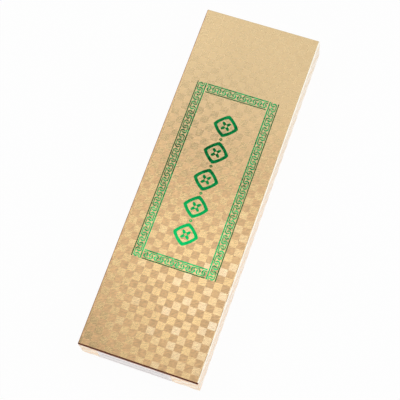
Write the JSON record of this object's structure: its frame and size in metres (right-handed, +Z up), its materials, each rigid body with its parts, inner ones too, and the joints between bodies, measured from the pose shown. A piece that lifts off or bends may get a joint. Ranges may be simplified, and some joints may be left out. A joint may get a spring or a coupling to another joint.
{
  "type": "boxed chinese cleaver",
  "caption": "Flat two-piece gift box in gold foil paper that holds a chinese cleaver in a foam cradle; the lid lifts off and the cleaver lifts out.",
  "frame": {"origin": "centre of the tray's underside, where the closed box stands on a table", "axes": "+Y along the box from its labelled end to its plain end, +X across the lid to the right seen from above with the labelled end near, +Z up out of the lid"},
  "size_m": [0.118, 0.3621, 0.0295],
  "materials": {
    "gold_foil_paper": "satin",
    "box_board": "matte",
    "gummed_paper": "matte",
    "label_paper": "matte",
    "white_paper": "matte",
    "packing_foam": "matte",
    "blade_steel": "satin",
    "bolster_steel": "satin",
    "handle_wood": "satin",
    "rivet_steel": "polished",
    "guard_card": "matte",
    "green_stamp_foil": "polished"
  },
  "bodies": {
    "tray": {"tray_board": "box_board", "tray_wrap": "white_paper", "tray_corner_stays": "gummed_paper", "foam_lower": "packing_foam", "foam_rails": "packing_foam", "foam_blocks": "packing_foam"},
    "cleaver": {"blade": "blade_steel", "bolster": "bolster_steel", "handle_scale_upper": "handle_wood", "handle_scale_lower": "handle_wood", "handle_rivets": "rivet_steel", "edge_guard": "guard_card"},
    "lid": {"lid_board": "box_board", "lid_wrap": "gold_foil_paper", "lid_corner_stays": "gummed_paper", "end_label": "label_paper"}
  },
  "joints": [
    {"name": "cleaver_lift", "type": "slide", "parent": "tray", "child": "cleaver", "axis": [0, 0, 1], "range_m": [0, 0.06]},
    {"name": "lid_lift", "type": "slide", "parent": "cleaver", "child": "lid", "axis": [0, 0, 1], "range_m": [0, 0.12]}
  ]
}
